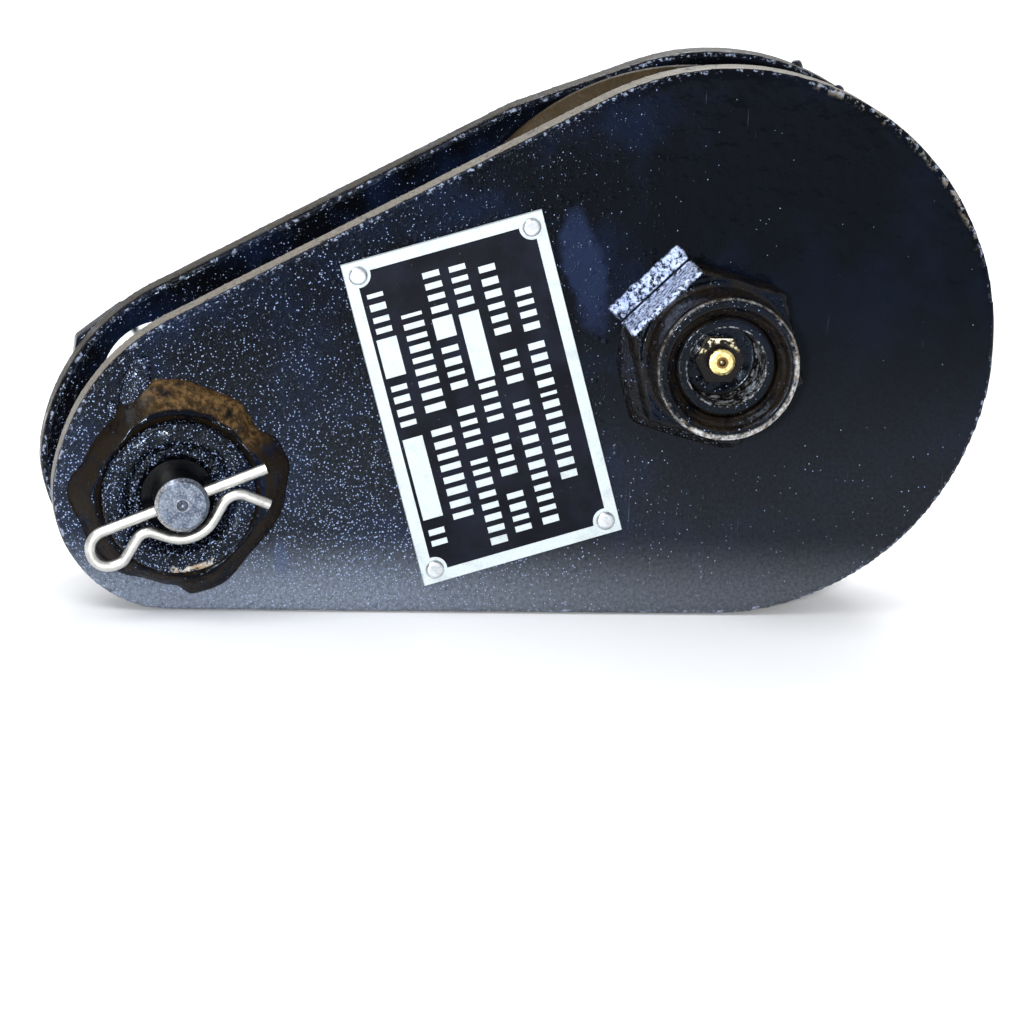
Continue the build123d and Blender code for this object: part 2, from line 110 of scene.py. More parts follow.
# ------------------------------------------------------------------ material helpers
class Shader:
    """A material's node tree, built with short calls."""

    def __init__(self, name):
        self.material = bpy.data.materials.new(name)
        self.material.use_nodes = True
        self.tree = self.material.node_tree
        self.surface = self.tree.nodes["Principled BSDF"]
        self.place = self.node("ShaderNodeTexCoord").outputs["Object"]

    def node(self, kind, settings=None, **inputs):
        """New node. Settings are its attributes; inputs are values or sockets, by name or number."""
        made = self.tree.nodes.new(kind)
        for key, value in (settings or {}).items():
            setattr(made, key, value)
        for key, value in inputs.items():
            self.set(made, key, value)
        return made

    def set(self, node, key, value):
        """Give a node's input a value, or link a socket to it."""
        socket = node.inputs[int(key[1:])] if key[0] == "i" and key[1:].isdigit() else node.inputs[key]
        if isinstance(value, bpy.types.NodeSocket):
            self.tree.links.new(value, socket)
        else:
            socket.default_value = value

    def finish(self, **inputs):
        """Set the surface's own inputs; an underscore stands for a space."""
        for key, value in inputs.items():
            self.set(self.surface, key.replace("_", " "), value)
        return self.material

    def noise(self, size, detail=3.0, roughness=0.5, place=None):
        """Noise whose features are about size metres across."""
        made = self.node("ShaderNodeTexNoise", Vector=place or self.place)
        made.inputs["Scale"].default_value = 1 / size
        made.inputs["Detail"].default_value = detail
        made.inputs["Roughness"].default_value = roughness
        return made.outputs["Fac"]

    def math(self, operation, first, second=0.5, clamp=False):
        made = self.node("ShaderNodeMath", {"operation": operation, "use_clamp": clamp},
                         i0=first, i1=second)
        return made.outputs[0]

    def ramp(self, value, low, high, to_low=0.0, to_high=1.0):
        """Smooth step of a value from low to high."""
        made = self.node("ShaderNodeMapRange", {"interpolation_type": "SMOOTHSTEP"}, Value=value)
        for key, number in zip(("From Min", "From Max", "To Min", "To Max"),
                               (low, high, to_low, to_high)):
            made.inputs[key].default_value = number
        return made.outputs["Result"]

    def mix(self, factor, first, second):
        """Colour between first and second."""
        made = self.node("ShaderNodeMix", {"data_type": "RGBA"}, i0=factor)
        self.set(made, "i6", self.colour(first))
        self.set(made, "i7", self.colour(second))
        return made.outputs[2]

    @staticmethod
    def colour(value):
        return value if isinstance(value, bpy.types.NodeSocket) else (*value, 1.0)

    def axes(self, vector):
        """x, y and z of a vector socket."""
        return self.node("ShaderNodeSeparateXYZ", Vector=vector).outputs

    def from_axis(self, centre):
        """How far to the right of and above an axis along Y."""
        place = self.axes(self.place)
        return (self.math("SUBTRACT", place[0], centre.x),
                self.math("SUBTRACT", place[2], centre.z))

    def radius(self, centre, wide=1.0, tall=1.0, turn=0.0):
        """Distance from an axis along Y, or from an ellipse's middle in its own half sizes."""
        across, above = self.from_axis(centre)
        cosine, sine = math.cos(math.radians(turn)), math.sin(math.radians(turn))
        u = self.math("ADD", self.math("MULTIPLY", across, cosine / wide),
                      self.math("MULTIPLY", above, sine / wide))
        v = self.math("SUBTRACT", self.math("MULTIPLY", above, cosine / tall),
                      self.math("MULTIPLY", across, sine / tall))
        square = self.math("ADD", self.math("MULTIPLY", u, u), self.math("MULTIPLY", v, v))
        return self.math("SQRT", square)

    def toward(self, centre, angle):
        """Cosine between the direction from an axis along Y and an angle in degrees."""
        across, above = self.from_axis(centre)
        along = self.math("ADD", self.math("MULTIPLY", across, math.cos(math.radians(angle))),
                          self.math("MULTIPLY", above, math.sin(math.radians(angle))))
        return self.math("DIVIDE", along, self.radius(centre))

    def pimples(self, size, share):
        """Height of round pimples about size apart, grown on a share of their cells."""
        cells = self.node("ShaderNodeTexVoronoi", Vector=self.place)
        cells.inputs["Scale"].default_value = 1 / size
        near = self.math("MULTIPLY", cells.outputs["Distance"], cells.outputs["Distance"])
        dome = self.math("SUBTRACT", 1.0, self.math("MULTIPLY", near, 5.0), clamp=True)
        chance = self.axes(cells.outputs["Color"])[0]
        grown = self.math("SUBTRACT", self.math("ADD", chance, share), 1.0, clamp=True)
        return self.math("MULTIPLY", dome, self.math("MULTIPLY", grown, 2.5, clamp=True))

    def bump(self, height, depth, strength=1.0, normal=None):
        """Bump of a height from 0 to 1 that stands for depth metres."""
        made = self.node("ShaderNodeBump", Height=height)
        made.inputs["Strength"].default_value = strength
        made.inputs["Distance"].default_value = depth
        if normal:
            self.set(made, "Normal", normal)
        return made.outputs["Normal"]


# ------------------------------------------------------------------ materials
PAINT_DARK = (0.0012, 0.0014, 0.0022)
PAINT_NAVY = (0.0028, 0.0058, 0.0165)
TAN = (0.165, 0.146, 0.118)
# BROWN and GOLD: colours of the painted reflection of warm surroundings
BROWN = (0.0085, 0.0058, 0.0032)
GOLD = (0.080, 0.047, 0.018)


def pimple_share(s, few, many):
    """Share of the skin's cells with a pimple: few at the hub, many at the tail and low down."""
    place = s.axes(s.place)
    dense = s.ramp(place[0], 0.02, -0.105)
    low = s.ramp(place[2], 0.0, -0.05, 0.0, 0.12)
    return s.math("ADD", s.math("MULTIPLY", dense, many - few), s.math("ADD", low, few))


def painted_sparkles(s, colour, share):
    """Painted sparkle highlights: pale blue specks in the paint, more of them where there are more pimples
    and lower down.
    """
    below = s.ramp(s.axes(s.place)[2], 0.005, -0.045, 0.4, 1.0)
    squared = s.math("MULTIPLY", s.math("MULTIPLY", share, share), below)
    for size, reach, amount in ((1.0 * MM, 0.24, 0.22), (0.55 * MM, 0.30, 0.42)):
        cells = s.node("ShaderNodeTexVoronoi", Vector=s.place)
        cells.inputs["Scale"].default_value = 1 / size
        dot = s.ramp(cells.outputs["Distance"], reach, reach * 0.45)
        chance = s.axes(cells.outputs["Color"])[1]
        kept = s.math("LESS_THAN", chance, s.math("MULTIPLY", squared, amount))
        colour = s.mix(s.math("MULTIPLY", dot, kept), colour, (0.22, 0.29, 0.48))
    return colour


def paint_skin(s, share):
    """Orange peel and pimples of the thick enamel."""
    soft = s.bump(s.noise(12 * MM, 2.0), 0.9 * MM, 0.3)
    lumps = s.bump(s.noise(3.0 * MM, 2.0), 0.30 * MM, 0.5, soft)
    coarse = s.bump(s.pimples(1.9 * MM, share), 0.22 * MM, 1.0, lumps)
    fine = s.bump(s.pimples(0.95 * MM, share), 0.14 * MM, 1.0, coarse)
    return s.bump(s.pimples(0.55 * MM, share), 0.09 * MM, 1.0, fine)


def painted_warm_reflection(s, normal, colour, rough, amount, golden_reflection):
    """Painted reflection of warm surroundings on the paint: brown patches on faces turned away from the
    front, golden where the surface faces up and to the right.
    """
    facing = s.math("ADD", normal[2], s.math("MULTIPLY", normal[0], 0.45))
    torn = s.math("MULTIPLY", s.noise(4 * MM, 4.0, 0.6), 0.7)
    up = s.ramp(s.math("ADD", facing, torn), 0.55, 0.85)
    above = s.ramp(s.toward(TAIL, 74), 0.70, 0.86)
    steep = s.ramp(s.math("ABSOLUTE", normal[1]), 0.985, 0.90)
    patch = s.ramp(s.noise(5 * MM, 4.0, 0.6), 0.30, 0.55)
    brown_reflection = s.math("MULTIPLY", s.math("MULTIPLY", steep, patch), amount)
    # brown painted reflection in patches on faces turned away from the front
    colour = s.mix(brown_reflection, colour, BROWN)
    grain = s.mix(s.ramp(s.noise(1.3 * MM, 4.0, 0.65), 0.40, 0.66), tuple(c * 0.25 for c in GOLD), GOLD)
    # golden painted reflection where the surface faces up, above the tail pin
    lit = s.math("MULTIPLY", s.math("MULTIPLY", up, brown_reflection), s.math("MULTIPLY", above, golden_reflection))
    rough = s.math("ADD", rough, s.math("MULTIPLY", brown_reflection, 0.18))
    return s.mix(lit, colour, grain), rough


def cut_edge(s, normal, colour, rough, edge_colour, bare):
    """Cut edge of a plate, scuffed through its paint to a dusty tan."""
    side = s.ramp(s.math("ABSOLUTE", normal[1]), 0.50, 0.22)
    torn = s.ramp(s.noise(3 * MM, 5.0, 0.65), 0.52 - bare, 0.66 - bare)
    mask = s.math("MULTIPLY", side, torn)
    dust = s.mix(s.ramp(s.noise(0.9 * MM, 4.0, 0.7), 0.32, 0.70), edge_colour,
                 tuple(c * 0.55 for c in edge_colour))
    return s.mix(mask, colour, dust), s.math("ADD", rough, s.math("MULTIPLY", mask, 0.25))


def painted(name, few=0.10, many=0.95, warm_reflection=0.0, golden_reflection=0.0, edge=None, bare=0.0, extra=None,
            gloss=0.07, turned=0.0):
    """Thick black enamel with painted sparkle highlights. few and many: pimples at the hub and at the tail;
    warm_reflection and golden_reflection: painted reflection of warm surroundings, brown and golden; edge
    and bare:
    colour and amount of the worn cut edge; extra: more marks; gloss: specular level; turned: depth of
    turning lines round the hub."""
    s = Shader(name)
    normal = s.axes(s.node("ShaderNodeNewGeometry").outputs["Normal"])
    clouds = s.ramp(s.noise(26 * MM, 4.0, 0.6), 0.44, 0.68)
    leftward = s.ramp(s.axes(s.place)[0], 0.03, -0.05, 0.3, 1.0)
    clouds = s.math("MULTIPLY", clouds, leftward)
    share = pimple_share(s, few, many)
    # painted sparkle highlights as pale specks on the paint colour
    colour = painted_sparkles(s, s.mix(clouds, PAINT_DARK, PAINT_NAVY), share)
    rough = s.ramp(s.noise(9 * MM, 3.0), 0.3, 0.75, 0.09, 0.19)
    # painted reflection of warm surroundings, brown and golden
    if warm_reflection:
        colour, rough = painted_warm_reflection(s, normal, colour, rough, warm_reflection, golden_reflection)
    if edge:
        colour, rough = cut_edge(s, normal, colour, rough, edge, bare)
    if extra:
        colour, rough = extra(s, colour, rough)
    skin = paint_skin(s, share)
    if turned:
        lines = s.math("SINE", s.math("MULTIPLY", s.radius(HUB), 2 * math.pi / (1.3 * MM)))
        skin = s.bump(lines, turned, 1.0, skin)
    s.surface.inputs["Specular Tint"].default_value = (0.66, 0.80, 1.0, 1.0)
    return s.finish(Base_Color=colour, Roughness=rough, Normal=skin, Specular_IOR_Level=gloss)


def painted_floor_reflection(s, colour):
    """Painted reflection of the floor on the front cheek: a trace at hub height, thick along the bottom."""
    place = s.axes(s.place)
    broad = s.ramp(place[2], 0.020, -0.050, 0.0, 0.07)
    low = s.ramp(place[2], GROUND + 19 * MM, GROUND + 3 * MM)
    left = s.ramp(place[0], 0.02, -0.11, 0.42, 1.0)
    dusty = s.ramp(s.noise(0.8 * MM, 5.0, 0.75), 0.34, 0.66, 0.55, 1.0)
    reflected = s.math("ADD", broad, s.math("MULTIPLY", s.math("MULTIPLY", low, left), 0.68))
    # the painted reflection is bluer to the left
    tint = s.mix(left, (0.145, 0.155, 0.17), (0.165, 0.195, 0.25))
    return s.mix(s.math("MULTIPLY", reflected, dusty), colour, tint)


def painted_reflection_band(s, colour, rough):
    """Painted reflection of the flash in pale specks on the nut's upper left flat and on the strip of cheek
    against it.
    """
    place = s.axes(s.place)
    half = math.sqrt(0.5)
    start, end, reach_along, seam_at = 17.0 * MM, 22.6 * MM, 10.5 * MM, 17.9 * MM
    outward = s.math("MULTIPLY", s.math("SUBTRACT", place[2], place[0]), half)
    along = s.math("ABSOLUTE", s.math("MULTIPLY", s.math("ADD", place[2], place[0]), half))
    wavy = s.math("MULTIPLY", s.noise(2.2 * MM, 4.0, 0.6), 1.2 * MM)
    reach = s.math("ADD", outward, wavy)
    strip = s.math("MULTIPLY", s.ramp(reach, start - 0.2 * MM, start + 0.2 * MM),
                   s.ramp(reach, end + 0.3 * MM, end - 0.3 * MM))
    sideways = s.math("ADD", along, wavy)
    strip = s.math("MULTIPLY", strip,
                   s.ramp(sideways, reach_along + 0.4 * MM, reach_along - 0.4 * MM))
    seam = s.ramp(s.math("ABSOLUTE", s.math("SUBTRACT", outward, seam_at)), 0.15 * MM, 0.45 * MM)
    on_flat = s.ramp(place[1], FRONT_FACE - 0.9 * MM, FRONT_FACE - 1.3 * MM)
    seam = s.math("MAXIMUM", seam, on_flat)
    specks = s.ramp(s.noise(0.85 * MM, 4.0, 0.7), 0.40, 0.60)
    mask = s.math("MULTIPLY", s.math("MULTIPLY", strip, seam), specks)
    mask = s.math("MULTIPLY", mask, s.math("LESS_THAN", place[1], FRONT_FACE + 1 * MM))
    # pale blue colour of the painted reflection
    pale = s.mix(s.noise(2.5 * MM, 2.0), (0.22, 0.30, 0.56), (0.56, 0.63, 0.80))
    return s.mix(mask, colour, pale), s.math("ADD", rough, s.math("MULTIPLY", mask, 0.15))


def painted_arris_highlights(s, colour, rough):
    """Painted highlights in beads along the arrises of a cheek."""
    lean = s.math("ABSOLUTE", s.axes(s.node("ShaderNodeNewGeometry").outputs["Normal"])[1])
    arris = s.math("MULTIPLY", s.ramp(lean, 0.50, 0.65), s.ramp(lean, 0.97, 0.88))
    beads = s.ramp(s.noise(1.3 * MM, 4.0, 0.7), 0.53, 0.64)
    return s.mix(s.math("MULTIPLY", arris, beads), colour, (0.17, 0.20, 0.27)), rough


def front_marks(s, colour, rough):
    """Front cheek: painted reflection of the floor, a smudge, a drip, a painted reflection band by the nut,
    chips, scratches, painted arris highlights.
    """
    smudge_middle, drip_middle = Vector((-28.3, 0, 16.9)) * MM, Vector((-91.4, 0, -47.8)) * MM
    # painted reflection of the floor, strongest along the bottom
    colour = painted_floor_reflection(s, colour)
    ragged = s.math("MULTIPLY", s.noise(7 * MM, 5.0, 0.65), 1.2)
    smudge = s.radius(smudge_middle, 4.6 * MM, 13.8 * MM, 17)
    mask = s.ramp(s.math("ADD", smudge, ragged), 1.75, 1.25)
    colour = s.mix(s.math("MULTIPLY", mask, 0.9), colour, (0.008, 0.013, 0.034))
    drip = s.radius(drip_middle, 2.2 * MM, 5.2 * MM, 12)
    mask = s.ramp(s.math("ADD", drip, ragged), 1.70, 1.00)
    colour = s.mix(s.math("MULTIPLY", mask, 0.5), colour, (0.040, 0.056, 0.110))
    # painted reflection band beside the nut
    colour, rough = painted_reflection_band(s, colour, rough)

    rim = s.ramp(s.radius(BIG), BIG_R - 2.4 * MM, BIG_R - 0.5 * MM)
    upper_right = s.ramp(s.toward(BIG, 48), 0.86, 0.95)
    chips = s.ramp(s.noise(2.6 * MM, 5.0, 0.7), 0.50, 0.60)
    worn = s.math("MULTIPLY", s.math("MULTIPLY", rim, upper_right), chips)
    colour = s.mix(worn, colour, TAN)

    stretched = s.node("ShaderNodeMapping", Vector=s.place)
    stretched.inputs["Rotation"].default_value = (0, math.radians(35), 0)
    stretched.inputs["Scale"].default_value = (1.0, 1.0, 0.06)
    lines = s.ramp(s.noise(1.1 * MM, 2.0, 0.5, stretched.outputs[0]), 0.735, 0.79)
    colour = s.mix(s.math("MULTIPLY", lines, 0.6), colour, (0.05, 0.06, 0.085))
    # painted highlights along the arrises
    return painted_arris_highlights(s, colour, rough)


def nut_marks(s, colour, rough):
    """Nut: collar rubbed bright round its rim, most at the bottom and right; painted reflection in pale
    specks on its upper left flat.
    """
    place = s.axes(s.place)
    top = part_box("hub_nut")[0].y
    rubbed_from, crest = 14.4 * MM, 15.2 * MM
    near_top = s.ramp(place[1], top + 1.3 * MM, top + 0.5 * MM)
    rim = s.ramp(s.radius(HUB), rubbed_from - 0.3 * MM, rubbed_from + 0.3 * MM)
    lower = s.ramp(s.toward(HUB, -55), -0.45, 0.85)
    torn = s.math("ADD", s.noise(1.9 * MM, 6.0, 0.75), s.math("MULTIPLY", lower, 0.24))
    worn = s.math("MULTIPLY", s.math("MULTIPLY", near_top, rim), s.ramp(torn, 0.56, 0.80))
    bare = s.mix(s.ramp(s.noise(0.8 * MM, 3.0), 0.35, 0.65), (0.40, 0.41, 0.42), (0.15, 0.12, 0.085))
    edge = s.ramp(s.math("ABSOLUTE", s.math("SUBTRACT", s.radius(HUB), crest)),
                  0.30 * MM, 0.12 * MM)
    thin = s.math("MULTIPLY", s.math("MULTIPLY", edge, near_top), s.ramp(torn, 0.40, 0.66))
    worn = s.math("MAXIMUM", worn, s.math("MULTIPLY", thin, 0.55))
    # painted reflection on the upper left flat
    return painted_reflection_band(s, s.mix(worn, colour, bare), rough)


def boss_marks(s, colour, rough):
    """Tail boss, chipped to bare metal on its lower rim."""
    below = s.ramp(s.toward(TAIL, -76), 0.935, 0.965)
    ring = s.ramp(s.radius(TAIL), BOSS_R - 1.9 * MM, BOSS_R - 1.3 * MM)
    chips = s.ramp(s.noise(2.2 * MM, 4.0, 0.6), 0.42, 0.50)
    worn = s.math("MULTIPLY", s.math("MULTIPLY", below, ring), chips)
    bare = s.mix(s.ramp(s.noise(1.5 * MM, 3.0), 0.4, 0.6), (0.36, 0.35, 0.33), (0.27, 0.20, 0.13))
    return s.mix(worn, colour, bare), s.math("ADD", rough, s.math("MULTIPLY", worn, 0.15))


def pin_marks(s, colour, rough):
    """Centre pin's front end, rubbed along the edge of its counterbore."""
    counterbore = 8.5 * MM
    torn = s.noise(1.5 * MM, 4.0, 0.7)
    from_edge = s.math("ABSOLUTE", s.math("SUBTRACT", s.radius(HUB), counterbore))
    edge = s.ramp(from_edge, 0.45 * MM, 0.2 * MM)
    worn = s.math("MULTIPLY", edge, s.ramp(torn, 0.48, 0.62))
    in_front = s.math("LESS_THAN", s.axes(s.place)[1], 0.0)
    return s.mix(s.math("MULTIPLY", worn, in_front), colour, (0.20, 0.21, 0.22)), rough


def painted_mound_highlights(s, colour, rough):
    """Rear inner weld: painted highlights, pale arcs on its outer rim at the upper left."""
    mound = Vector((TAIL.x, 0, TAIL.z + MOUND_UP))
    rim = s.radius(mound)
    wide = s.math("MULTIPLY", s.ramp(rim, MOUND_R - 2.2 * MM, MOUND_R - 1.6 * MM),
                  s.ramp(s.toward(mound, 141), 0.94, 0.97))
    thin = s.math("MULTIPLY", s.ramp(rim, MOUND_R - 0.8 * MM, MOUND_R - 0.5 * MM),
                  s.ramp(s.toward(mound, 101), 0.95, 0.98))
    # mask of the painted highlight arcs
    worn = s.math("MULTIPLY", s.math("MAXIMUM", wide, thin), s.ramp(s.noise(2 * MM), 0.26, 0.36))
    return s.mix(worn, colour, (0.72, 0.76, 0.76)), rough


def steel(name, base, rough, stain):
    """Turned or drawn steel with fine lines and stains."""
    s = Shader(name)
    brushed, deep = 0.5 * MM, 0.02 * MM
    stretch = s.node("ShaderNodeMapping", Vector=s.place)
    stretch.inputs["Scale"].default_value = (1.0, 5.0, 1.0)
    marks = s.noise(brushed, 3.0, 0.6, stretch.outputs[0])
    spots = s.ramp(s.noise(2.6 * MM, 4.0, 0.6), 0.4, 0.7)
    dark = tuple(c * (1 - stain) for c in base)
    colour = s.mix(spots, base, dark)
    colour = s.mix(s.ramp(marks, 0.3, 0.8, 0.0, 0.35), colour, tuple(c * 0.55 for c in base))
    roughness = s.ramp(s.noise(1.2 * MM, 3.0), 0.2, 0.8, rough * 0.75, rough * 1.3)
    return s.finish(Base_Color=colour, Metallic=1.0, Roughness=roughness,
                    Normal=s.bump(marks, deep, 1.0))


def pin_steel():
    """Tail pin: bare grey end with a centre-drilled dimple, painted shoulder below it."""
    s = Shader("pin_steel")
    dimple, nose = 1.25 * MM, 5.0 * MM
    place = s.axes(s.place)
    marks = s.noise(0.5 * MM, 4.0, 0.65)
    spots = s.ramp(s.noise(2.4 * MM, 4.0, 0.6), 0.35, 0.65)
    bare = s.mix(spots, (0.115, 0.140, 0.180), (0.040, 0.050, 0.082))
    bare = s.mix(s.ramp(marks, 0.45, 0.75), bare, (0.26, 0.27, 0.29))
    from_edge = s.math("ABSOLUTE", s.math("SUBTRACT", s.radius(TAIL), dimple))
    bare = s.mix(s.ramp(from_edge, 0.22 * MM, 0.06 * MM), bare, (0.36, 0.37, 0.38))
    rim = s.ramp(s.radius(TAIL), nose, nose + 0.3 * MM)
    lower = s.ramp(s.toward(TAIL, 215), -0.2, 0.7, 0.1, 1.0)
    worn = s.math("MULTIPLY", s.math("MULTIPLY", rim, lower), s.ramp(marks, 0.35, 0.6))
    bare = s.mix(worn, bare, (0.45, 0.44, 0.42))
    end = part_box("tail_pin")[0].y
    paint = s.ramp(place[1], end + 1.0 * MM, end + 1.6 * MM)
    colour = s.mix(paint, bare, PAINT_DARK)
    metal = s.math("SUBTRACT", 1.0, paint)
    rough = s.math("SUBTRACT", 0.38, s.math("MULTIPLY", paint, 0.2))
    return s.finish(Base_Color=colour, Metallic=metal, Roughness=rough, Specular_IOR_Level=0.08,
                    Normal=s.bump(marks, 0.05 * MM, 0.8))


def brass():
    """Grease nipple: clean brass head, its hexagon half buried in paint and grease; rubbed brass in an arc
    above the head is painted nearly white as a glint.
    """
    s = Shader("brass")
    place = s.axes(s.place)
    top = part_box("grease_nipple")[0].y
    head = s.ramp(place[1], top + 1.9 * MM, top + 1.7 * MM)
    patch = s.ramp(s.noise(1.8 * MM, 4.0, 0.6), 0.50, 0.58)
    arc = s.math("MULTIPLY", s.ramp(s.toward(HUB, 100), 0.2, 0.7), s.ramp(s.radius(HUB), 3.5 * MM, 4.0 * MM))
    rubbed = s.math("MULTIPLY", s.math("MULTIPLY", arc, patch), 0.85)
    clean = s.math("MAXIMUM", head, rubbed)
    spots = s.ramp(s.noise(0.7 * MM, 4.0, 0.6), 0.40, 0.66)
    metal = s.mix(spots, (0.92, 0.76, 0.34), (0.62, 0.43, 0.15))
    # painted glint: the rubbed arc made nearly white
    metal = s.mix(rubbed, metal, (0.95, 0.92, 0.78))
    hollow = s.ramp(s.radius(HUB), 1.5 * MM, 1.1 * MM)
    metal = s.mix(hollow, metal, (0.16, 0.09, 0.03))
    colour = s.mix(clean, (0.006, 0.005, 0.005), metal)
    rough = s.ramp(s.noise(0.6 * MM), 0.3, 0.7, 0.16, 0.34)
    return s.finish(Base_Color=colour, Metallic=clean, Roughness=rough, Specular_IOR_Level=0.12,
                    Normal=s.bump(s.noise(0.9 * MM), 0.12 * MM, 0.6))


def sheave_steel():
    """Forged sheave under brown primer, dusty and rubbed by the rope."""
    s = Shader("sheave_steel")
    broad = s.ramp(s.noise(14 * MM, 4.0, 0.6), 0.35, 0.65)
    fine = s.ramp(s.noise(1.4 * MM, 4.0, 0.65), 0.35, 0.7)
    colour = s.mix(broad, (0.024, 0.016, 0.0070), (0.010, 0.007, 0.004))
    colour = s.mix(s.math("MULTIPLY", fine, 0.5), colour, (0.040, 0.027, 0.012))
    rough = s.ramp(s.noise(3 * MM), 0.3, 0.7, 0.34, 0.55)
    return s.finish(Base_Color=colour, Roughness=rough, Specular_IOR_Level=0.06,
                    Normal=s.bump(fine, 0.08 * MM, 0.8))


def bronze():
    s = Shader("bronze")
    spots = s.ramp(s.noise(3 * MM, 4.0, 0.6), 0.35, 0.7)
    colour = s.mix(spots, (0.52, 0.30, 0.12), (0.26, 0.14, 0.06))
    return s.finish(Base_Color=colour, Metallic=1.0, Roughness=s.ramp(spots, 0, 1, 0.28, 0.42),
                    Normal=s.bump(s.noise(0.6 * MM), 0.03 * MM))


def plate_white():
    """Satin aluminium of the plate's border and raised marks."""
    s = Shader("plate_white")
    grain = s.noise(0.35 * MM, 3.0, 0.6)
    dirt = s.ramp(s.noise(5 * MM, 5.0, 0.65), 0.5, 0.78)
    colour = s.mix(s.ramp(grain, 0.3, 0.7), (0.43, 0.48, 0.49), (0.34, 0.39, 0.41))
    colour = s.mix(s.math("MULTIPLY", dirt, 0.55), colour, (0.20, 0.23, 0.26))
    return s.finish(Base_Color=colour, Metallic=0.15, Roughness=s.ramp(dirt, 0, 1, 0.34, 0.55),
                    Normal=s.bump(grain, 0.02 * MM))


def plate_black():
    """Printed black field of the plate."""
    s = Shader("plate_black")
    clouds = s.ramp(s.noise(9 * MM, 4.0, 0.6), 0.35, 0.7)
    colour = s.mix(clouds, (0.002, 0.0025, 0.005), (0.005, 0.0065, 0.013))
    specks = s.ramp(s.noise(0.7 * MM, 2.0), 0.72, 0.80)
    colour = s.mix(specks, colour, (0.12, 0.13, 0.16))
    rough = s.ramp(s.noise(6 * MM), 0.3, 0.7, 0.30, 0.45)
    return s.finish(Base_Color=colour, Roughness=rough, Specular_IOR_Level=0.08,
                    Normal=s.bump(s.noise(0.8 * MM), 0.03 * MM))


# ------------------------------------------------------------------ mesh helpers
def give(obj, material):
    obj.data.materials.clear()
    obj.data.materials.append(material)
    return obj


def smooth(obj):
    for polygon in obj.data.polygons:
        polygon.use_smooth = True


def piece(name, bm, material, body, replaces=(), rounded=True):
    """Object from a bmesh, riding on a body and standing for CAD nodes."""
    bmesh.ops.recalc_face_normals(bm, faces=bm.faces)
    mesh = bpy.data.meshes.new(name)
    bm.to_mesh(mesh)
    bm.free()
    obj = bpy.data.objects.new(name, mesh)
    bpy.context.scene.collection.objects.link(obj)
    if rounded:
        smooth(obj)
    give(obj, material)
    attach(obj, body)
    if replaces:
        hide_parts(*replaces)
    return obj


def polar(centre, angle, radius, height, side):
    """Point at an angle and radius round a centre on a face at centre.y, height out of it."""
    return Vector((centre.x + radius * math.cos(angle), centre.y + side * height,
                   centre.z + radius * math.sin(angle)))


def blend_radius(table, angle):
    """Smooth radius at an angle, from (degrees, millimetres) pairs that go round once."""
    degrees = math.degrees(angle) % 360
    pairs = sorted(table)
    around = [(pairs[-1][0] - 360, pairs[-1][1]), *pairs, (pairs[0][0] + 360, pairs[0][1])]
    for (start, low), (end, high) in zip(around, around[1:]):
        if start <= degrees <= end:
            share = (degrees - start) / (end - start)
            share = share * share * (3 - 2 * share)
            return (low + (high - low) * share) * MM
    return pairs[0][1] * MM


def bead_loop(inner, outer, top, power=1.6, dip=0.0, across=14):
    """Section of a weld bead as (radius, height), from its sunk inner edge outwards and back."""
    crown = 0.62            # share of the way in where the inner side starts to dip
    loop = [(inner, -SUNK), (outer, -SUNK)]
    for k in range(across + 1):
        share = k / across
        rise = top * (1 - (1 - share) ** power)
        hollow = max(0.0, (share - crown) / (1 - crown))
        loop.append((outer + (inner - outer) * share, rise - dip * top * hollow ** 2))
    return loop


def ring(name, centre, side, section, material, slot, replaces=(), span=(0, 360), steps=200,
         lumps=0.35, lump_size=3.5, seed=0):
    """Ring or part of a ring round an axis along Y. section gives its loop at an angle."""
    shift = Vector((seed * 7.3, seed * 3.1, seed * 5.7))
    closed = span[1] - span[0] >= 360
    bm = bmesh.new()
    loops = []
    for step in range(steps if closed else steps + 1):
        angle = math.radians(span[0] + (span[1] - span[0]) * step / steps)
        loop = []
        for radius, height in section(angle):
            spot = polar(centre, angle, radius, height, side)
            rough = noise.noise(spot / (lump_size * MM) + shift)
            rough += 0.4 * noise.noise(spot / (0.4 * lump_size * MM) + shift)
            grow = rough * lumps * MM * max(0.0, min(1.0, height / MM))
            loop.append(bm.verts.new(polar(centre, angle, radius, height + grow, side)))
        loops.append(loop)
    pairs = list(zip(loops, loops[1:] + loops[:1])) if closed else list(zip(loops, loops[1:]))
    for first, second in pairs:
        for k in range(len(first)):
            nxt = (k + 1) % len(first)
            bm.faces.new((first[k], first[nxt], second[nxt], second[k]))
    if not closed:
        bm.faces.new(loops[0])
        bm.faces.new(loops[-1])
    return piece(name, bm, material, "frame", replaces)


